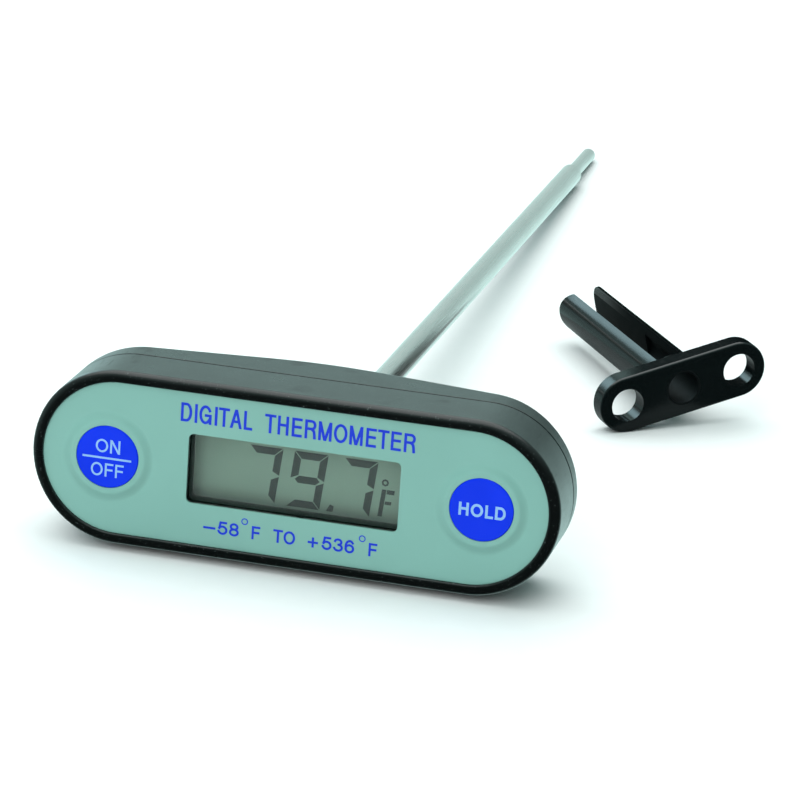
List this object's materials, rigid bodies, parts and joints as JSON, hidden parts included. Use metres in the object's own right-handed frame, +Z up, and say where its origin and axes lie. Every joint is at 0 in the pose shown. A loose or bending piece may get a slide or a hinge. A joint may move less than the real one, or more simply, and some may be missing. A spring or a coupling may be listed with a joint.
{
  "type": "darkroom thermometer",
  "caption": "T-handle digital probe thermometer: stadium-shaped head with window, two keys, long thin stem with reduced tip, and a slotted plastic stem clip beside it.",
  "frame": {"origin": "on the head's flat underside, below the stem's axis, at the middle of the front case's depth", "axes": "+X along the head to the right as the display is read, +Y back along the stem from the head to its tip, +Z up across the head"},
  "size_m": [0.0933, 0.2151, 0.0262],
  "materials": {
    "case_plastic": "black ABS moulding, semi-gloss, fine moulded grain",
    "cap_plastic": "black ABS moulding, satin",
    "clip_plastic": "black nylon moulding, glossy",
    "frame_plastic": "black moulded plastic, matt",
    "label_film": "printed film, teal grey, satin",
    "key_plastic": "blue moulded plastic, satin gloss",
    "clear_window": "clear acrylic, polished",
    "polariser_film": "grey-green polarising film",
    "display_glass": "thin display glass",
    "reflector_film": "grey-green reflective film",
    "zebra_rubber": "layered silicone rubber",
    "seal_rubber": "black nitrile rubber",
    "pad_foam": "black foam rubber",
    "switch_plastic": "black moulded plastic",
    "board_laminate": "green solder mask",
    "black_epoxy": "black epoxy",
    "capacitor_ceramic": "tan ceramic",
    "clear_epoxy": "amber epoxy",
    "bright_steel": "nickel-plated steel",
    "stem_steel": "stainless steel, drawn and satin polished",
    "contact_brass": "plated brass",
    "lead_copper": "enamelled copper wire",
    "sensor_glass": "glass-sealed thermistor bead"
  },
  "bodies": {
    "head": {"front_case": "case_plastic", "rear_case": "case_plastic", "case_gasket": "seal_rubber", "case_screws": "bright_steel", "face_label": "label_film", "window_lens": "clear_window", "on_off_switch_cover": "bright_steel", "on_off_switch_base": "switch_plastic", "hold_switch_cover": "bright_steel", "hold_switch_base": "switch_plastic", "lcd_frame": "frame_plastic", "lcd_front_polariser": "polariser_film", "lcd_front_glass": "display_glass", "lcd_rear_glass": "display_glass", "lcd_reflector": "reflector_film", "zebra_strip_upper": "zebra_rubber", "zebra_strip_lower": "zebra_rubber", "circuit_board": "board_laminate", "board_screws": "bright_steel", "chip_blob": "black_epoxy", "crystal": "bright_steel", "board_resistors": "black_epoxy", "board_capacitors": "capacitor_ceramic", "button_cell": "bright_steel", "battery_negative_contact": "contact_brass", "battery_positive_contact": "contact_brass", "stem_tube": "stem_steel", "stem_tip": "stem_steel", "stem_ferrule": "contact_brass", "stem_ring": "seal_rubber", "stem_potting": "clear_epoxy", "sensor_bead": "sensor_glass", "sensor_leads": "lead_copper", "tip_filler": "clear_epoxy"},
    "on_off_key": {"on_off_key": "key_plastic", "on_off_plunger": "switch_plastic"},
    "hold_key": {"hold_key": "key_plastic", "hold_plunger": "switch_plastic"},
    "battery_cap": {"battery_cap": "cap_plastic", "battery_cap_ring": "seal_rubber", "battery_pad": "pad_foam"},
    "clip": {"stem_clip": "clip_plastic"}
  },
  "joints": [
    {"name": "on_off_press", "type": "slide", "parent": "head", "child": "on_off_key", "axis": [0, 1, 0], "range_m": [0, 0.0005], "stiffness_N_per_m": 800, "springref_m": -0.0008},
    {"name": "hold_press", "type": "slide", "parent": "head", "child": "hold_key", "axis": [0, 1, 0], "range_m": [0, 0.0005], "stiffness_N_per_m": 800, "springref_m": -0.0008},
    {"name": "battery_cap_turn", "type": "hinge", "parent": "head", "child": "battery_cap", "pos_m": [0.0165, 0.00865, 0.0131], "axis": [0, 1, 0], "range_deg": [0, 60]},
    {"name": "clip_slide", "type": "slide", "parent": "head", "child": "clip", "axis": [0.5634, -0.8256, -0.0303], "range_m": [0, 0.04]}
  ]
}
